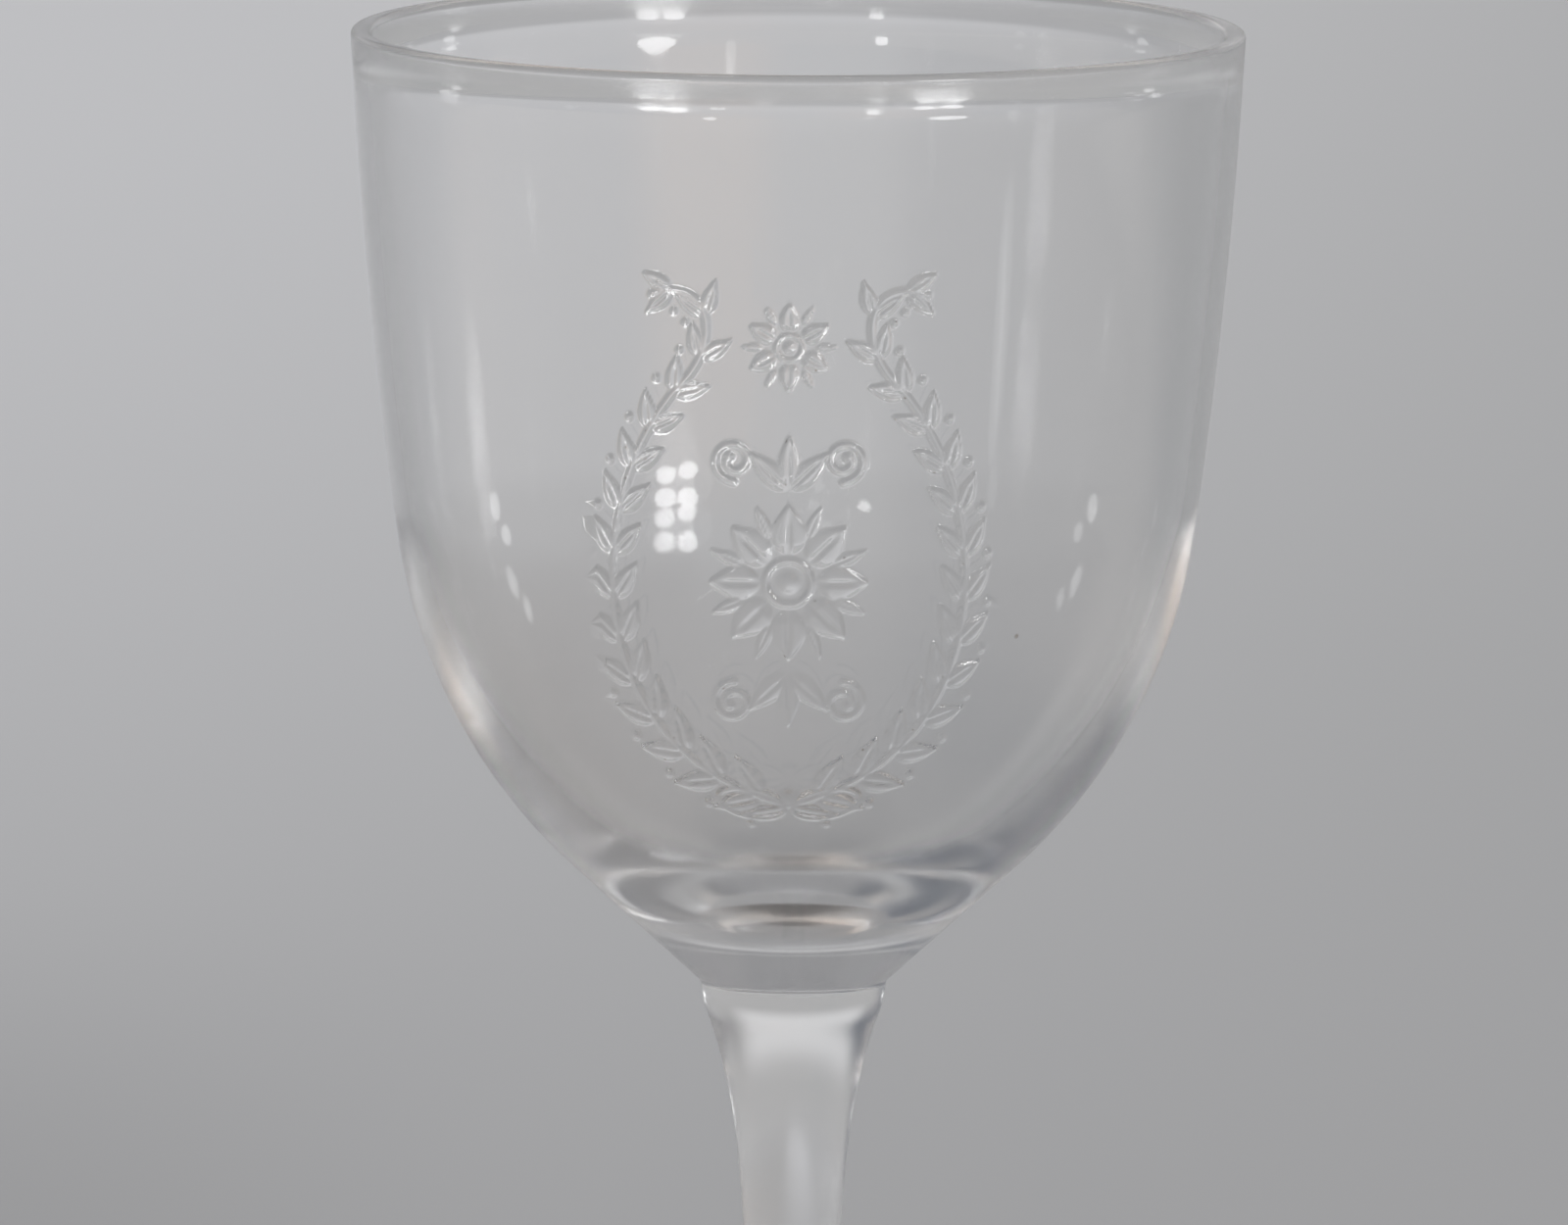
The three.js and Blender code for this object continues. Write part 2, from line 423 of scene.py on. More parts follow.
def window_numbers(coarse_count):
    """Point numbers of the window: its corners of coarse cells are the coarse grid's own points."""
    numbers = np.full((fine_rows, fine_columns), -1)
    rows = np.arange(row_low, row_top + 1)[:, None]
    columns = np.arange(column_low, column_top + 1)[None]
    numbers[::SPLIT, ::SPLIT] = rows * BOWL_COLUMNS + columns
    new = numbers < 0
    numbers[new] = coarse_count + np.arange(new.sum())
    return numbers, new


def edge_cells(numbers, cells, shared):
    """Coarse cells beside the window: their four corners, with the window's points put into the shared
    edge, which is the side from the corner numbered shared to the next one."""
    between = numbers[:-1].reshape(-1, SPLIT)[:, 1:]
    cells = np.roll(cells, -shared, axis=-1)
    if np.any(cells[:, 0] != numbers[:-1:SPLIT]):
        between = between[:, ::-1]
    return np.concatenate([cells[:, :1], between, cells[:, 1:]], 1).tolist()


# %% Bowl
def make_bowl(materials):
    """Coarse grid, split window, an open ring closed by the fused face below and a pole on the floor."""
    profile = bowl_profile[:-1]
    tangent = tangents(bowl_profile)[:-1]
    points = swing(profile, angles).reshape(-1, 3)
    normals = swing(np.stack([tangent[:, 1], -tangent[:, 0]], -1), angles).reshape(-1, 3)
    cells = ring_quads(len(profile), BOWL_COLUMNS)

    numbers, new = window_numbers(len(points))
    fine_points, fine_normals, fine_share = window_surface()
    own = numbers[~new]
    points[own], normals[own] = fine_points[~new], fine_normals[~new]
    points = np.vstack([points, fine_points[new]])
    normals = np.vstack([normals, fine_normals[new]])
    fine = np.stack([numbers[:-1, :-1], numbers[:-1, 1:], numbers[1:, 1:], numbers[1:, :-1]], -1)

    inner = slice(column_low, column_top)
    upright = slice(row_low, row_top)
    faces = edge_cells(numbers[0], cells[row_low - 1, inner], 2)
    faces += edge_cells(numbers[-1], cells[row_top, inner], 0)
    faces += edge_cells(numbers[:, 0], cells[upright, column_low - 1], 1)
    faces += edge_cells(numbers[:, -1], cells[upright, column_top], 3)
    keep = np.ones(cells.shape[:2], bool)
    keep[upright, column_low - 1:column_top + 1] = False
    keep[[row_low - 1, row_top], inner] = False
    faces += cells[keep].tolist() + fine.reshape(-1, 4).tolist()

    axis_points = np.array([[0, 0, neck_plane], [0, 0, bowl_profile[-1, 1]]])
    base, pole = len(points), len(points) + 1
    points = np.vstack([points, axis_points])
    normals = np.vstack([normals, [[0, 0, -1], [0, 0, 1]]])
    last = (len(profile) - 1) * BOWL_COLUMNS
    faces += end_fan(np.arange(last, last + BOWL_COLUMNS), pole, False)
    fused = end_fan(np.arange(BOWL_COLUMNS), base, True)
    share = np.zeros(len(points))
    share[own] = fine_share[~new]
    share[base - new.sum():base] = fine_share[new]
    piece = add_piece("glass_bowl", points, normals, faces, fused, materials)
    relief_mark = piece.data.attributes.new("relief", "FLOAT", "POINT")
    relief_mark.data.foreach_set("value", share.astype(np.float32))
    return piece


# %% [markdown]
# ## The stem
#
# The stem was pulled from the hot base: a short collar under the bowl, a flare that thins fast, then a
# rod, and a second flare down to the foot. A drawn rod follows bell-like curves, so each flare is an
# exponential. Where the collar meets the bowl the seam is melted to a small hollow curve. The collar is
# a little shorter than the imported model's, so that the bright part of the stem starts as high as it does
# in the photograph.

# %% Stem
NECK_LENGTH = 1.25 * MM
NECK_LEAN = radians(5)
SEAM_RADIUS = 0.5 * MM
COLLAR_SOFTNESS = 0.28 * MM
WAIST_RADIUS = 2.3 * MM
UPPER_DRAW = 6.1 * MM
LOWER_DRAW = 4.5 * MM
FOOT_JOIN_RADIUS = 4.6 * MM
STEM_COLUMNS = 128
STEM_ROWS = 170
SEAM_ROWS = 9


def soft_run(distance):
    """0 well before a corner, growing evenly well after it: s ln(1 + exp(distance / s))."""
    return COLLAR_SOFTNESS * np.logaddexp(0, distance / COLLAR_SOFTNESS)


def stem_outline():
    """Two exponential flares on a thin rod. The upper one runs softly into a collar that leans a little,
    and an arc joins the collar to the bowl's cone."""
    leans = np.linspace(CONE_LEAN, NECK_LEAN, SEAM_ROWS)
    seam = arc(np.array([neck_radius, neck_plane]), SEAM_RADIUS, leans)
    seam = 2 * seam[0] - seam
    collar_foot = neck_plane - NECK_LENGTH
    collar_radius = seam[-1, 0] - (seam[-1, 1] - collar_foot) * np.tan(NECK_LEAN)
    share = (1 - np.cos(np.linspace(0, np.pi, STEM_ROWS))) / 2
    height = foot_top + share * (seam[-1, 1] - foot_top)
    upper = (collar_radius - WAIST_RADIUS) * np.exp(-soft_run(collar_foot - height) / UPPER_DRAW)
    upper += np.tan(NECK_LEAN) * soft_run(height - collar_foot)
    lower = (FOOT_JOIN_RADIUS - WAIST_RADIUS) * np.exp(-(height - foot_top) / LOWER_DRAW)
    rod = np.stack([WAIST_RADIUS + upper + lower, height], -1)
    rod[:, 0] += (seam[-1, 0] - rod[-1, 0]) * np.exp((height - height[-1]) / (3 * COLLAR_SOFTNESS))
    return np.vstack([rod, seam[-2::-1]])


def make_turned(name, profile, columns, materials, closed_start, closed_end):
    """A turned skin. An end that touches another gather is closed by a fused face, the other by a
    pole."""
    turn = (np.arange(columns) - columns // 2) * 2 * np.pi / columns
    tangent = tangents(profile)
    rows = slice(0 if closed_start else 1, None if closed_end else -1)
    points = swing(profile[rows], turn).reshape(-1, 3)
    normals = swing(np.stack([tangent[rows, 1], -tangent[rows, 0]], -1), turn).reshape(-1, 3)
    count = len(points) // columns
    faces = ring_quads(count, columns).reshape(-1, 4).tolist()
    first = end_fan(np.arange(columns), len(points), True)
    last = end_fan(np.arange(columns) + (count - 1) * columns, len(points) + 1, False)
    points = np.vstack([points, [[0, 0, profile[0, 1]], [0, 0, profile[-1, 1]]]])
    normals = np.vstack([normals, [[0, 0, -1], [0, 0, 1]]])
    fused = (first if closed_start else []) + (last if closed_end else [])
    faces += ([] if closed_start else first) + ([] if closed_end else last)
    return add_piece(name, points, normals, faces, fused, materials)


# %% [markdown]
# ## The foot
#
# The foot is a small gather that was opened with a wooden paddle: a shallow cone with a rounded edge. It
# is dished underneath, so the glass stands on a narrow flat ring and doesn't rock.

# %% Foot
FOOT_EDGE = 1.8 * MM
FOOT_SWEEP = 7 * MM
RING_WIDTH = 3.2 * MM
RING_SETBACK = 1 * MM
DISH_HEIGHT = 1.7 * MM
FOOT_COLUMNS = 160
DISH_ROWS, RING_ROWS, EDGE_ROWS, TOP_ROWS = 40, 9, 17, 90
TOP_CROWD = 1.5


def foot_outline():
    """A parabola under the foot, the flat ring, half a round at the edge and an exponential rise on
    top."""
    ring_outer = foot_radius - RING_SETBACK
    ring_inner = ring_outer - RING_WIDTH
    share = np.linspace(0, 1, DISH_ROWS)
    dish = np.stack([ring_inner * share, DISH_HEIGHT * (1 - share**2)], -1)
    ring = np.stack([np.linspace(ring_inner, ring_outer, RING_ROWS), np.zeros(RING_ROWS)], -1)[1:]
    turn = np.linspace(-np.pi / 2, np.pi / 2, EDGE_ROWS)[1:]
    edge_radius = FOOT_EDGE / 2
    edge_centre = np.array([foot_radius - edge_radius, edge_radius])
    edge = edge_centre + edge_radius * np.stack([np.cos(turn), np.sin(turn)], -1)
    run = foot_radius - edge_radius - FOOT_JOIN_RADIUS
    radius = FOOT_JOIN_RADIUS + run * np.linspace(1, 0, TOP_ROWS)[1:] ** TOP_CROWD
    last = np.exp(-run / FOOT_SWEEP)
    fall = (np.exp(-(radius - FOOT_JOIN_RADIUS) / FOOT_SWEEP) - last) / (1 - last)
    top = np.stack([radius, FOOT_EDGE + (foot_top - FOOT_EDGE) * fall], -1)
    return np.vstack([dish, ring, edge, top])


# %% [markdown]
# ## Shader maths
#
# Materials are sums of masks. A mask is easier to read as `1 - mask` than as a chain of boxes and wires,
# so a small class wraps a socket and adds a Math node for each operator. Any other node comes from one
# method, which sets its settings first and then gives its sockets values or links.

# %% Shader helper
class Shade:
    """One output of a node tree. Operators on it add Math nodes to the tree."""

    def __init__(self, tree, socket=None):
        self.tree = tree
        self.socket = socket

    def node(self, kind, settings=None, inputs=None, output=0):
        """Adds a node: first its settings, then values or links by socket name or number."""
        made = self.tree.nodes.new(kind)
        for key, value in (settings or {}).items():
            setattr(made, key, value)
        for key, value in (inputs or {}).items():
            if isinstance(value, Shade):
                self.tree.links.new(value.socket, made.inputs[key])
            else:
                made.inputs[key].default_value = value
        return Shade(self.tree, made.outputs[output])

    def maths(self, operation, *values):
        """A Math node on sockets and numbers."""
        return self.node("ShaderNodeMath", {"operation": operation}, dict(enumerate(values)))

    def __add__(self, other):
        return self.maths("ADD", self, other)

    __radd__ = __add__

    def __rsub__(self, other):
        return self.maths("SUBTRACT", other, self)

    def __mul__(self, other):
        return self.maths("MULTIPLY", self, other)

    __rmul__ = __mul__

    def step(self, low, high):
        """0 below low, 1 above high, smooth between."""
        settings = {"interpolation_type": "SMOOTHSTEP"}
        return self.node("ShaderNodeMapRange", settings, {0: self, 1: low, 2: high, 3: 0.0, 4: 1.0})

    def tint(self, colour, tone):
        """A colour times a tone, by this mask."""
        settings = {"data_type": "RGBA", "blend_type": "MULTIPLY"}
        return self.node("ShaderNodeMix", settings, {0: self, 6: colour, 7: tone}, 2)

    def blend(self, first, second):
        """A colour between two, by this mask."""
        return self.node("ShaderNodeMix", {"data_type": "RGBA"}, {0: self, 6: first, 7: second}, 2)


def noise(coordinates, scale, detail, roughness=0.5):
    """Clouds of values round 0.5, with so many to the metre and so many finer layers."""
    inputs = {"Vector": coordinates, "Scale": scale, "Detail": detail, "Roughness": roughness}
    return coordinates.node("ShaderNodeTexNoise", {}, inputs)


# %% [markdown]
# ## Clear glass
#
# Colourless glass is mostly what it bends and mirrors, so the shader is plain glass with its index. What
# makes it real is what has happened to it: the skin ripples a little where it was blown, lips and
# fingers have worn the rim and the stem to a fine haze, and dust sits in the relief. The ripple is a bump
# of a few thousandths of a millimetre. Haze only raises the roughness, more on the rim, the base and the
# stem than on the wall, and the pressed relief is frosted by the mould. The specks darken the colour.
# Light is caught in the solid base and mirrored there many times, so a film of dust that takes one part
# in a hundred of it each time makes the base visibly darker than the wall.

# %% Glass material
GLASS_INDEX = 1.5
DUST_FILM = 0.012
CLEAR = (0.995, 0.997, 0.997, 1)
SPECK = (0.42, 0.36, 0.3, 1)

# Heights between which a finish starts or ends.
FOOT_UP = (12 * MM, 30 * MM)
STEM_END = (52 * MM, 58 * MM)
BASE_END = (66 * MM, 74 * MM)
LIP_START = (106.2 * MM, 107.2 * MM)

# Roughness of polished glass, and what each finish adds to it.
POLISHED = 0.03
HAZY = 0.04
FROSTED = 0.09
SOFT_BASE = 0.06
SOFT_ROD = 0.07
WORN_LIP = 0.12

# Noise: how many to the metre, finer layers and, for smears, the strength of these. An edge is where a
# cloud starts and where it is full.
CLOUDS, CLOUD_EDGE = (55, 3), (0.5, 0.75)
SMEARS, SMEAR_EDGE = (420, 4, 0.6), (0.35, 0.7)
GRAIN = (1500, 2)
WAVES, WAVELETS = (90, 2), (400, 2)
RIPPLE_HEIGHT = 0.004 * MM

# Specks: cells to the metre, the share of the cells that stay empty and a speck's part of its cell.
LOOSE_SPECKS = (260.0, 0.955, 0.035)
RELIEF_DIRT = (1900.0, 0.86, 0.16)


def specks(place, scale, threshold, size):
    """Dots in a few cells of a Voronoi pattern: 1 where the distance to the cell's point is small."""
    inputs = {"Vector": place, "Scale": scale}
    distance = place.node("ShaderNodeTexVoronoi", {}, inputs)
    chance = place.node("ShaderNodeTexVoronoi", {}, inputs, 1)
    few = chance.node("ShaderNodeSeparateColor", {}, {0: chance}).step(threshold, threshold + 0.01)
    return (1 - distance.step(size * 0.6, size * 1.4)) * few


def clear_glass(name, film=0.0, alpha=1.0):
    """A Principled glass with ripple, haze and specks over Object coordinates."""
    material = bpy.data.materials.new(name)
    material.use_nodes = True
    tree = material.node_tree
    shader = tree.nodes["Principled BSDF"]
    shader.inputs["Transmission Weight"].default_value = 1 - film
    shader.inputs["IOR"].default_value = GLASS_INDEX
    shader.inputs["Alpha"].default_value = alpha
    shader.inputs["Base Color"].default_value = CLEAR
    shader.inputs["Roughness"].default_value = 0.0
    if alpha == 0:
        return material

    place = Shade(tree).node("ShaderNodeTexCoord", output=3)
    relief_share = place.node("ShaderNodeAttribute", {"attribute_name": "relief"}, output=2)
    haze = noise(place, *CLOUDS).step(*CLOUD_EDGE) * noise(place, *SMEARS).step(*SMEAR_EDGE)
    frost = relief_share.step(0.0, 0.3) * (0.6 + 0.4 * noise(place, *GRAIN))
    height = place.node("ShaderNodeSeparateXYZ", {}, {0: place}, 2)
    handled = height.step(*FOOT_UP)
    base = handled * (1 - height.step(*BASE_END))
    rod = handled * (1 - height.step(*STEM_END))
    lip_wear = height.step(*LIP_START)
    roughness = POLISHED + HAZY * haze + FROSTED * frost
    roughness = roughness + SOFT_BASE * base + SOFT_ROD * rod + WORN_LIP * lip_wear
    speck = specks(place, *LOOSE_SPECKS)
    edge = relief_share.step(0.05, 0.25) * (1 - relief_share.step(0.5, 0.8))
    dirt = edge * specks(place, *RELIEF_DIRT)
    dark = speck.maths("MAXIMUM", speck, dirt)
    colour = dark.blend(CLEAR, SPECK)
    ripple = noise(place, *WAVES) + 0.3 * noise(place, *WAVELETS)
    inputs = {"Strength": 1.0, "Distance": RIPPLE_HEIGHT, "Height": ripple}
    bump = ripple.node("ShaderNodeBump", {}, inputs)
    tree.links.new(colour.socket, shader.inputs["Base Color"])
    tree.links.new(roughness.socket, shader.inputs["Roughness"])
    tree.links.new(bump.socket, shader.inputs["Normal"])
    return material


# %% [markdown]
# ## Three gathers, one glass
#
# The gathers are fused, so light passes their joints without a trace. Each piece is still a closed skin,
# and the round faces where two of them touch get a second glass material whose alpha is 0.

# %% Make the pieces
glass = clear_glass("clear_glass")
dusty = clear_glass("dusty_glass", DUST_FILM)
fused = clear_glass("fused_joint", alpha=0.0)
slots = (glass, fused, dusty)
bowl = make_bowl(slots)
stem = make_turned("glass_stem", stem_outline(), STEM_COLUMNS, slots, True, True)
foot = make_turned("glass_foot", foot_outline(), FOOT_COLUMNS, slots, False, True)
for piece, node in ((bowl, "bowl"), (stem, "stem"), (foot, "foot")):
    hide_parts(node)
    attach(piece, "root")

# %% [markdown]
# ## Floor and light
#
# Glass has no colour of its own to light, so the set is what the eye sees. A very large pale floor fills
# the view behind the glass. It is lit by one wide, soft sun from above, which is as strong far away as
# it is near, so light and shade on the floor are painted into its colour: grey by the glass, painted
# lighter with distance, a painted pool of light in a narrow lane behind the left half, painted shade on
# the right and by the glass on the left, and painted light, nearly white and warm in one patch, in
# front, where the walls mirror it. The world is grey, dark on the left, and lighter and warm low in
# front, where the walls' edges look. It meets the far floor in the same tone, because the stem bends
# the horizon into view. Small soft boxes, which light nothing and are only mirrored, make the
# highlights: the panes of a window on the right and a few lamps.

# %% Floor
FLOOR_SIZE = 60.0
FLOOR_GAP = 0.2 * MM
FLOOR_NEAR = (0.498, 0.496, 0.496, 1)
# Painted light: the floor is painted paler far from the glass, as if lit more there.
FLOOR_FAR_PAINTED_LIGHT = (0.60, 0.60, 0.605, 1)
# Painted light: a pool of light painted into the floor in a lane behind the glass.
FLOOR_PAINTED_POOL = (0.80, 0.80, 0.81, 1)
# Painted shade: the floor is painted a little darker on the right.
FLOOR_RIGHT_PAINTED_SHADE = (0.9, 0.9, 0.89, 1)
# Painted shadow: the floor is painted darker on the left, by the glass.
FLOOR_LEFT_PAINTED_SHADOW = (0.88, 0.88, 0.88, 1)
# Painted light: nearly white in front of and beside the glass, where the walls mirror it.
FLOOR_FRONT_PAINTED_LIGHT = (1.0, 0.94, 0.88, 1)
# Painted light: a warm patch of light painted on the floor, in front and left of the glass.
FLOOR_PAINTED_WARM_LIGHT = (1.0, 0.88, 0.78, 1)
FLOOR_ROUGHNESS = 0.9
FLOOR_GLOSS = 0.1

# Where each tone starts and ends, in metres. A reach is a distance from the glass.
PAINTED_LIGHT_WITH_DISTANCE = (0.1, 0.75)
RIGHT_SIDE, RIGHT_START, RIGHT_STOP = (-0.16, 0.16), (0.25, 0.6), (1.2, 2.5)
LEFT_SIDE, LEFT_STOP = (-0.06, -0.01), (0.25, 0.45)
BESIDE, BESIDE_STOP, IN_FRONT = (0.06, 0.14), (0.0, 0.25), (0.03, 0.13)
PAINTED_WARM_CENTRE, PAINTED_WARM_RADIUS = (-0.1, -0.07, 0), (0.05, 0.17)
# The painted pool of light: where its lane starts, how much x is stretched, its centre, size and end.
PAINTED_POOL_START = 1.6
PAINTED_POOL_NARROWING = 6
PAINTED_POOL_CENTRE, PAINTED_POOL_RADIUS = (-0.4, PAINTED_POOL_START, 0), (0.55, 1.5)
PAINTED_POOL_STOP = (2.6, 4.5)


def make_floor():
    """A flat square a hair below the ring that the glass stands on, because two skins in one plane
    render black. Its colour carries painted light and shade: grey by the glass, painted lighter with
    distance, a painted pool of light in a lane behind it, painted shade a little darker on the right
    and by the glass on the left, and painted light, white in front and beside the glass, with one warm
    painted patch of light. The lane is where a point is near the pool's centre once its x is stretched
    and its y is cut off there."""
    mesh = bpy.data.meshes.new("floor")
    corners = FLOOR_SIZE / 2 * np.array([[-1, -1, 0], [1, -1, 0], [1, 1, 0], [-1, 1, 0]])
    corners[:, 2] = -FLOOR_GAP
    mesh.from_pydata(corners.tolist(), [], [(0, 1, 2, 3)])
    material = bpy.data.materials.new("pale_floor")
    material.use_nodes = True
    tree = material.node_tree
    shader = tree.nodes["Principled BSDF"]
    shader.inputs["Roughness"].default_value = FLOOR_ROUGHNESS
    shader.inputs["Specular IOR Level"].default_value = FLOOR_GLOSS
    place = Shade(tree).node("ShaderNodeTexCoord", output=3)
    reach = place.node("ShaderNodeVectorMath", {"operation": "LENGTH"}, {0: place}, 1)
    x, y = [place.node("ShaderNodeSeparateXYZ", {}, {0: place}, k) for k in (0, 1)]
    # Painted shade: darker on the right, some way behind the glass.
    right = x.step(*RIGHT_SIDE) * reach.step(*RIGHT_START) * (1 - reach.step(*RIGHT_STOP))
    # Painted shadow: darker on the left, near the glass.
    left = (1 - x.step(*LEFT_SIDE)) * (1 - y.step(*LEFT_STOP))
    # Painted light: white beside and in front of the glass, for the walls to mirror.
    beside = x.maths("ABSOLUTE", x).step(*BESIDE) * (1 - y.step(*BESIDE_STOP))
    front = beside.maths("MAXIMUM", beside, (-1 * y).step(*IN_FRONT))
    # A painted pool of light in a narrow lane behind the left half of the glass.
    inputs = {0: PAINTED_POOL_NARROWING * x, 1: y.maths("MINIMUM", y, PAINTED_POOL_START)}
    lane = y.node("ShaderNodeCombineXYZ", {}, inputs)
    gap = lane.node("ShaderNodeVectorMath", {"operation": "DISTANCE"}, {0: lane, 1: PAINTED_POOL_CENTRE}, 1)
    pool = (1 - gap.step(*PAINTED_POOL_RADIUS)) * (1 - reach.step(*PAINTED_POOL_STOP))
    # Painted light: a warm patch painted on the floor in front and left of the glass.
    away = place.node("ShaderNodeVectorMath", {"operation": "DISTANCE"}, {0: place, 1: PAINTED_WARM_CENTRE}, 1)
    warm = 1 - away.step(*PAINTED_WARM_RADIUS)
    # Painted light: the floor's colour turns paler with distance from the glass.
    colour = reach.step(*PAINTED_LIGHT_WITH_DISTANCE).blend(FLOOR_NEAR, FLOOR_FAR_PAINTED_LIGHT)
    colour = pool.blend(colour, FLOOR_PAINTED_POOL)
    colour = right.tint(colour, FLOOR_RIGHT_PAINTED_SHADE)
    colour = left.tint(colour, FLOOR_LEFT_PAINTED_SHADOW)
    colour = front.blend(colour, FLOOR_FRONT_PAINTED_LIGHT)
    colour = warm.blend(colour, FLOOR_PAINTED_WARM_LIGHT)
    tree.links.new(colour.socket, shader.inputs["Base Color"])
    mesh.materials.append(material)
    floor = bpy.data.objects.new("floor", mesh)
    scene.collection.objects.link(floor)
    print("floor: %.0f m square, %.1f mm below the glass" % (FLOOR_SIZE, FLOOR_GAP / MM))


make_floor()

# %% World
WORLD_HIGH = (0.31, 0.31, 0.32, 1)
WORLD_LEFT = (0.12, 0.135, 0.165, 1)
WORLD_RIGHT = (0.45, 0.45, 0.46, 1)
WORLD_HIGH_RIGHT = (0.24, 0.24, 0.25, 1)
WORLD_FRONT = (0.61, 0.61, 0.615, 1)
WORLD_WARM = (1.05, 0.81, 0.65, 1)
WORLD_BEHIND = (0.41, 0.41, 0.415, 1)
WORLD_WINDOW = (0.64, 0.64, 0.65, 1)
WINDOW_DIRECTION = (-0.1, 0.98, 0.17)

# Where each tone starts or ends, as the part of a unit direction along an axis: lean is sideways, top and
# foot are upwards.
FRONT_LEAN, FRONT_TOP = (0.1, 0.5), (0.35, 0.7)
BEHIND_LEAN, BEHIND_TOP = (0.25, 0.65), (0.1, 0.4)
LEFT_LEAN, LEFT_TOP = (0.35, 0.65), (0.7, 0.9)
RIGHT_LEAN, RIGHT_TOP = (0.55, 0.8), (0.25, 0.4)
HIGH_RIGHT_LEAN = (0.4, 0.65)
WARM_LEAN, WARM_TOP = (0.0, 0.3), (0.08, 0.25)
WINDOW_LEAN, WINDOW_FOOT, WINDOW_TOP = (0.74, 0.93), (0.09, 0.2), (0.22, 0.36)


def make_world():
    """Grey above, dark on the left, lighter low down in front, on the right and behind, where it meets
    the floor. Low in front it is warm towards the right, and behind there is a pale window a little above
    the horizon."""
    world = bpy.data.worlds.new("room")
    scene.world = world
    world.use_nodes = True
    tree = world.node_tree
    direction = Shade(tree).node("ShaderNodeTexCoord", output=0)
    x, y, z = [direction.node("ShaderNodeSeparateXYZ", {}, {0: direction}, k) for k in range(3)]
    front = (-1 * y).step(*FRONT_LEAN) * (1 - z.step(*FRONT_TOP))
    behind = y.step(*BEHIND_LEAN) * (1 - z.step(*BEHIND_TOP))
    left = (-1 * x).step(*LEFT_LEAN) * (1 - z.step(*LEFT_TOP))
    right = x.step(*RIGHT_LEAN) * (1 - z.step(*RIGHT_TOP))
    high_right = x.step(*HIGH_RIGHT_LEAN) * z.step(*RIGHT_TOP)
    warm = front * (1 - z.step(*WARM_TOP)) * x.step(*WARM_LEAN)
    product = {"operation": "DOT_PRODUCT"}
    facing = direction.node("ShaderNodeVectorMath", product, {0: direction, 1: WINDOW_DIRECTION}, 1)
    window = facing.step(*WINDOW_LEAN) * (z.step(*WINDOW_FOOT) * (1 - z.step(*WINDOW_TOP)))
    colour = front.blend(WORLD_HIGH, WORLD_FRONT)
    colour = warm.blend(colour, WORLD_WARM)
    colour = high_right.blend(colour, WORLD_HIGH_RIGHT)
    colour = right.blend(colour, WORLD_RIGHT)
    colour = left.blend(colour, WORLD_LEFT)
    colour = behind.blend(colour, WORLD_BEHIND)
    colour = window.blend(colour, WORLD_WINDOW)
    tree.links.new(colour.socket, tree.nodes["Background"].inputs["Color"])


make_world()

# %% Lamps
SUN_AZIMUTH, SUN_ELEVATION = 25, 70
SUN_DISTANCE = 2.0
SUN_ANGLE = radians(50)
SUN_STRENGTH = 1.25
BOX_DISTANCE = 1.3
AIM = Vector((0, 0, 0.08))

# Name, azimuth, elevation, width and height in degrees, radiance.
BOXES = (
    ("pane_top_left", 41, 10.8, 6.5, 3.6, 19),
    ("pane_top_right", 33.5, 10.4, 6, 3.2, 19),
    ("pane_left", 42, 15.6, 7, 4, 13),
    ("pane_right", 34.5, 16.2, 6.5, 4.4, 19),
    ("window_sill", 37.5, 13.2, 11, 8, 2.5),
    ("window_glow", 37, 13, 22, 12, 0.8),
    ("window_low", 39.5, -0.3, 11, 3.4, 13),
    ("window_low_far", -23, -0.5, 3.5, 2.4, 11),
    ("door_edge", 18.5, 1.3, 3, 3.2, 1.8),
    ("shelf_edge", -62, 4.8, 3, 4, 1.2),
    ("lamp_left", -21, 9.8, 4, 1.8, 9),
    ("lamp_left_high", -9, 15, 6, 4, 1.8),
    ("lamp_left_higher", -5, 19, 5, 2.5, 1.6),
    ("side_left", -106, 7, 5, 4, 3),
    ("side_left_high", -102, 11.5, 4, 3, 2.5),
    ("side_right", 108, 6.8, 5, 4, 4),
    ("side_right_high", 106, 11.5, 4.5, 3, 4),
)


def from_the_glass(azimuth, elevation):
    """A unit direction from the glass. Azimuth grows to the right of the camera's side."""
    turn, rise = radians(azimuth), radians(elevation)
    return Vector((sin(turn) * cos(rise), -cos(turn) * cos(rise), sin(rise)))


def add_lamp(name, kind, direction, distance):
    """A lamp that faces the bowl from a direction and isn't seen by the camera itself."""
    light = bpy.data.lights.new(name, kind)
    lamp = bpy.data.objects.new(name, light)
    scene.collection.objects.link(lamp)
    facing = (-direction).to_track_quat("-Z", "Y").to_matrix().to_4x4()
    lamp.matrix_world = Matrix.Translation(AIM + direction * distance) @ facing
    lamp.visible_camera = False
    return lamp


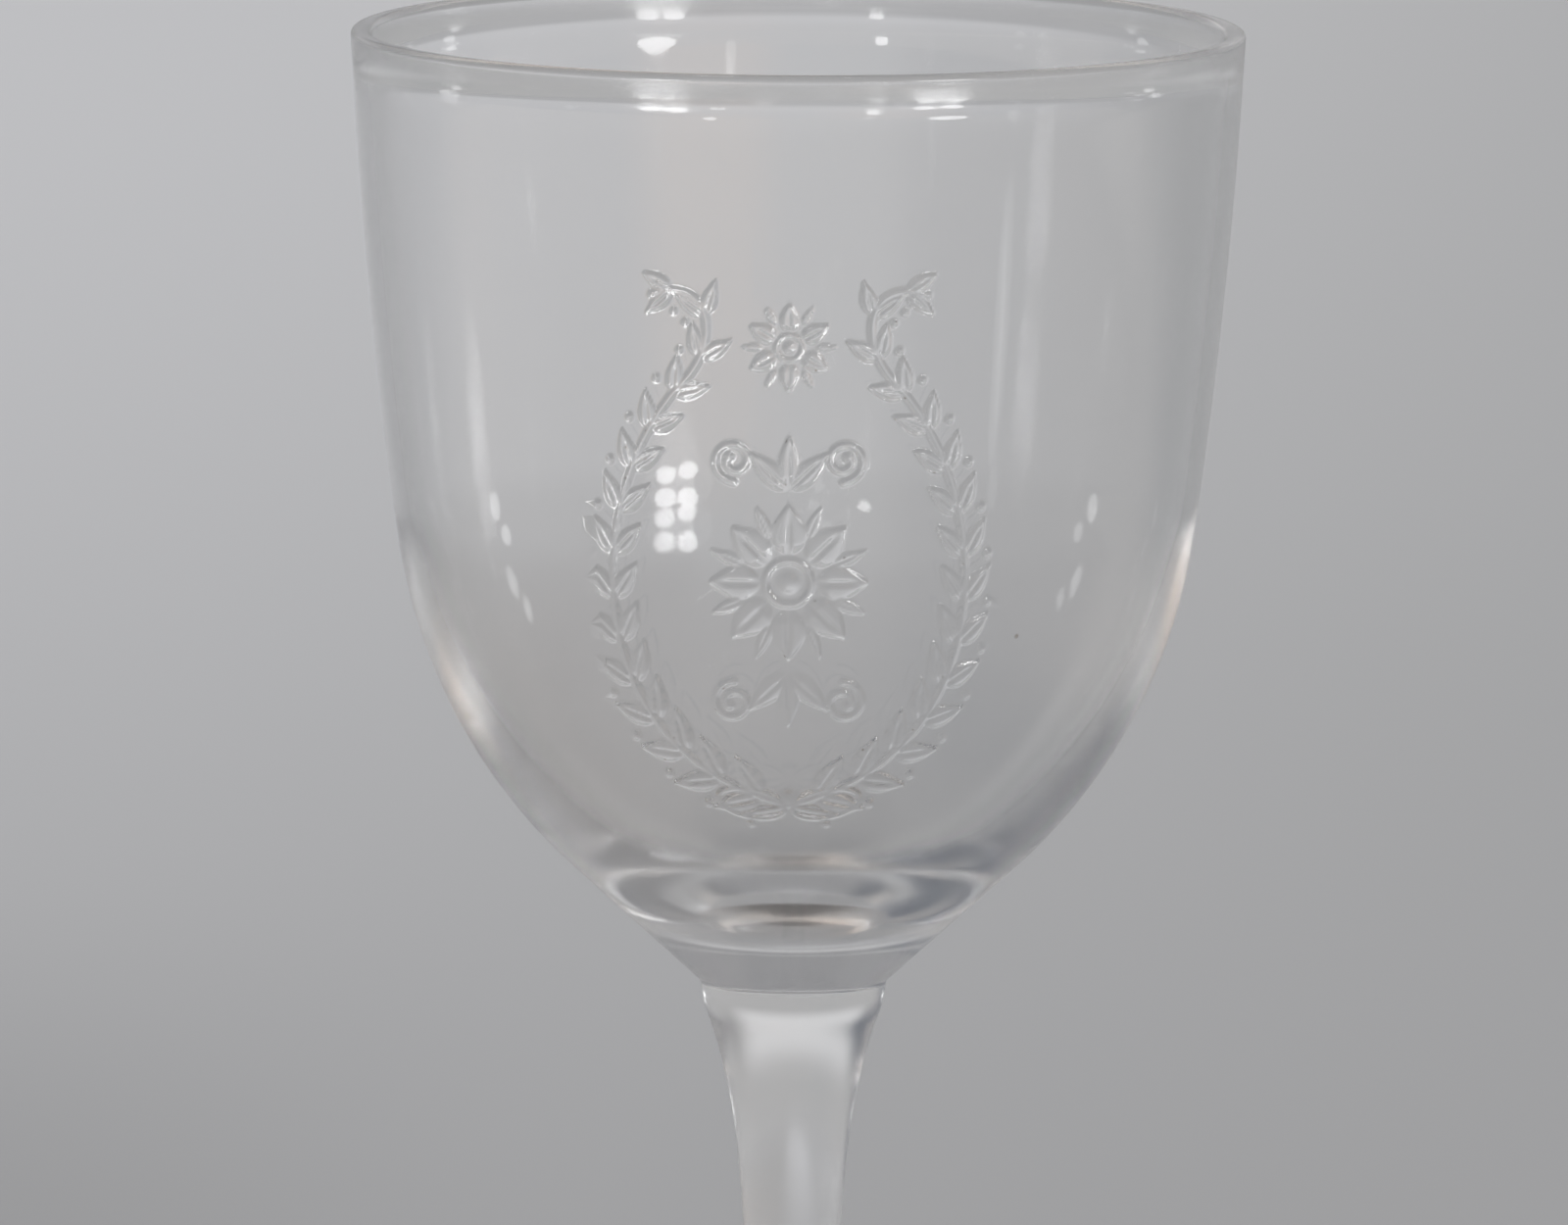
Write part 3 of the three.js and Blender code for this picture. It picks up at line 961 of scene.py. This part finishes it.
def add_box(name, azimuth, elevation, wide, high, radiance):
    """An oval soft box of a width and height in degrees, which lights nothing and is only mirrored. Its
    power is its radiance times its area times pi."""
    box = add_lamp(name, "AREA", from_the_glass(azimuth, elevation), BOX_DISTANCE)
    box.data.shape = "ELLIPSE"
    box.data.size = 2 * BOX_DISTANCE * np.tan(radians(wide / 2))
    box.data.size_y = 2 * BOX_DISTANCE * np.tan(radians(high / 2))
    box.data.energy = radiance * np.pi * np.pi / 4 * box.data.size * box.data.size_y
    box.visible_diffuse = False


sun = add_lamp("wide_sun", "SUN", from_the_glass(SUN_AZIMUTH, SUN_ELEVATION), SUN_DISTANCE)
sun.data.angle = SUN_ANGLE
sun.data.energy = SUN_STRENGTH
sun.visible_glossy = False
sun.visible_transmission = False
for box in BOXES:
    add_box(*box)
print("lamps: a sun and %d soft boxes" % len(BOXES))

# %% [markdown]
# ## Camera
#
# A long lens from a little above the rim, as close-ups of glass are taken, so the rim is a flat oval and
# the sides hardly converge.

# %% Camera
CAMERA_DISTANCE = 1.2
CAMERA_PITCH = radians(7.5)
CAMERA_ROLL = radians(0.3)
CAMERA_LENS = 511.9
SENSOR_WIDTH = 36
FARTHEST_SEEN = 60
VIEW_CENTRE = Vector((-0.6, 0, 76.4)) * MM

look = Vector((0, cos(CAMERA_PITCH), -sin(CAMERA_PITCH)))
camera_data = bpy.data.cameras.new("camera")
camera_data.sensor_width = SENSOR_WIDTH
camera_data.lens = CAMERA_LENS
camera_data.clip_end = FARTHEST_SEEN
camera = bpy.data.objects.new("camera", camera_data)
scene.collection.objects.link(camera)
facing = look.to_track_quat("-Z", "Y").to_matrix().to_4x4()
place = Matrix.Translation(VIEW_CENTRE - look * CAMERA_DISTANCE)
camera.matrix_world = place @ facing @ Matrix.Rotation(CAMERA_ROLL, 4, "Z")
scene.camera = camera
scene.view_settings.view_transform = "Standard"
print("camera: %.1f m away, %.1f degrees down" % (CAMERA_DISTANCE, np.degrees(CAMERA_PITCH)))

# %% [markdown]
# ## How far light may travel
#
# Light that is caught in the thick base is mirrored inside it many times. With the usual four bounces it
# would end as black patches that no real glass has, so the limits are raised.

# %% Light paths
LIGHT_BOUNCES = 128
for limit in ("max_bounces", "transmission_bounces", "glossy_bounces", "transparent_max_bounces"):
    setattr(scene.cycles, limit, LIGHT_BOUNCES)
